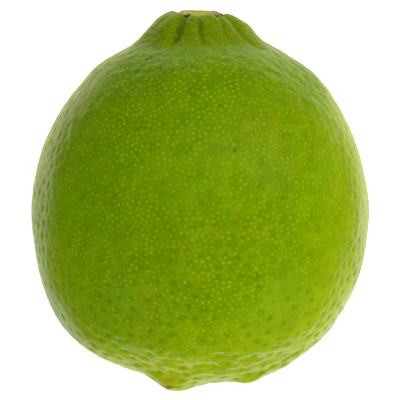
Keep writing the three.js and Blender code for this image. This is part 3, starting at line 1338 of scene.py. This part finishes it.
    def height(self, across: float, angle: float, level: float) -> float:
        """Gives the height of a point of the calyx above its middle.

        Args:
            across: how far out the point is, from 0 in the middle to 1 at the rim.
            angle: its angle from the front, in radians.
            level: 1 on top and 0 underneath.

        Returns:
            A height in millimetres.
        """
        high = np.interp(across, *np.transpose(self.top_profile))
        low = np.interp(across, *np.transpose(self.under_profile))
        waving = self.wrinkle_waviness * math.sin(self.wrinkle_waves * angle)
        wrinkle = self.wrinkle_height * math.sin(self.wrinkles * angle + waving) * across
        in_ring = bell(across - self.bundle_ring, self.bundle_width)
        bundles = self.bundle_height * math.cos(self.bundles * angle) * in_ring
        ridge = self.ridge_height * max(0.0, self.lobe(angle)) * ramp(across, *self.ridge_course)
        leaning = self.lean * math.sin(angle) * across * self.radius
        droop = self.front_droop * self.front(angle) - self.notch_lift * self.notch(angle)
        curl = (self.tip_curl * self.lobe(angle) - droop) * across**3
        return low + (high - low + wrinkle + bundles + ridge) * level + curl - leaning

    def dress(self, piece: bpy.types.Object) -> None:
        """Gives the calyx its material and its place in the frame.

        Args:
            piece: the calyx.
        """
        piece.data.materials.clear()
        piece.data.materials.append(self.finish.material(self.centre))
        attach(piece, "root")
        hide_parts(Node.CALYX.value)


@dataclass(frozen=True)
class Softbox:
    """A square light: its place in degrees round the lime from +X and up, its power and its side."""

    name: str
    round_lime: float
    up: float
    power: float
    size: float = 0.25


@dataclass
class Studio:
    """Bright oval floor, soft lights and camera round the lime, in metres and degrees."""

    centre: Vector
    tilt: float = 8.5
    distance: float = 0.8
    metres_across: float = 0.0652
    aim_up: float = 0.00206
    aim_side: float = -0.00005
    floor_half_width: float = 0.064
    floor_half_length: float = 0.1
    floor_glow: float = 0.73
    floor_paint: Tint = (0.8, 0.8, 0.8, 1.0)
    floor_drop: float = 0.00002
    floor_sides: int = 128
    sensor_width: float = 36.0
    view_depth: float = 10.0
    light_distance: float = 0.45
    softboxes: tuple[Softbox, ...] = (
        Softbox("key", -45.0, 10.0, 1.59),
        Softbox("side", 45.0, 25.0, 0.67),
        Softbox("stem_side", 90.0, 50.0, 0.62),
        Softbox("back", 225.0, 25.0, 0.95),
    )

    def build(self) -> None:
        """Sets up the camera, the floor, the lights and the world."""
        self.add_camera()
        self.add_floor()
        for softbox in self.softboxes:
            self.add_light(softbox)
        self.add_world()
        bpy.context.scene.view_settings.view_transform = "Standard"

    def add_camera(self) -> None:
        """Looks down on the lime, from a little towards its stem."""
        tilt = math.radians(self.tilt)
        back = Vector((0.0, math.sin(tilt), math.cos(tilt)))
        up = Vector((0.0, math.cos(tilt), -math.sin(tilt)))
        side = up.cross(back)
        place = self.centre + side * self.aim_side + up * self.aim_up + back * self.distance
        bpy.ops.object.camera_add(location=place)
        camera = bpy.context.object
        turn = Matrix((side, up, back)).transposed()
        camera.rotation_euler = turn.to_euler()
        camera.data.sensor_width = self.sensor_width
        camera.data.lens = self.sensor_width * self.distance / self.metres_across
        camera.data.clip_end = self.view_depth
        bpy.context.scene.camera = camera

    def add_floor(self) -> None:
        """Lays a plain pale floor under the lime, lit through from below like a light table."""
        place = (0.0, 0.0, -self.floor_drop)
        bpy.ops.mesh.primitive_circle_add(
            vertices=self.floor_sides, radius=self.floor_half_width, fill_type="NGON", location=place
        )
        bpy.ops.object.mode_set(mode="EDIT")
        bpy.ops.mesh.select_all(action="SELECT")
        bpy.ops.transform.resize(value=(1.0, self.floor_half_length / self.floor_half_width, 1.0))
        bpy.ops.object.mode_set(mode="OBJECT")
        floor = bpy.context.object
        floor.name = "floor"
        material = bpy.data.materials.new("pale_floor")
        material.use_nodes = True
        Graph(material.node_tree).principled(
            {
                "Base Color": self.floor_paint,
                "Roughness": 0.9,
                "Specular IOR Level": 0.0,
                "Emission Color": WHITE,
                "Emission Strength": self.floor_glow,
            }
        )
        floor.data.materials.append(material)

    def add_light(self, softbox: Softbox) -> None:
        """Stands a softbox round the lime and points it there.

        Args:
            softbox: the light to add.
        """
        turn, up = math.radians(softbox.round_lime), math.radians(softbox.up)
        away = Vector((math.cos(turn) * math.cos(up), math.sin(turn) * math.cos(up), math.sin(up)))
        bpy.ops.object.light_add(type="AREA", location=self.centre + away * self.light_distance)
        light = bpy.context.object
        light.name = softbox.name
        light.rotation_euler = away.to_track_quat("Z", "Y").to_euler()
        light.data.size = softbox.size
        light.data.energy = softbox.power
        light.visible_glossy = False

    def add_world(self) -> None:
        """Surrounds the scene with plain white, which lights nothing."""
        world = bpy.data.worlds.new("white_room")
        bpy.context.scene.world = world
        world.use_nodes = True
        graph = Graph(world.node_tree)
        sky = graph.add("ShaderNodeBackground", {"Color": WHITE, "Strength": 1.0})
        graph.add("ShaderNodeOutputWorld", {"Surface": sky.outputs[0]})
        world.cycles_visibility.diffuse = False
        world.cycles_visibility.glossy = False


def main() -> None:
    """Builds the pieces round the frame, dresses them and lights them."""
    log.info("frame: %d solids", len(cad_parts))
    rind = Rind(RindForm(), RindFinish())
    rind_piece = rind.build()
    rind.dress(rind_piece)
    log.info("rind: %d faces", len(rind_piece.data.polygons))
    calyx = CalyxButton(CalyxFinish())
    calyx_piece = calyx.build(rind.centre)
    calyx.dress(calyx_piece)
    log.info("calyx: %d faces", len(calyx_piece.data.polygons))
    Studio(rind.centre).build()


if __name__ == "__main__":
    main()
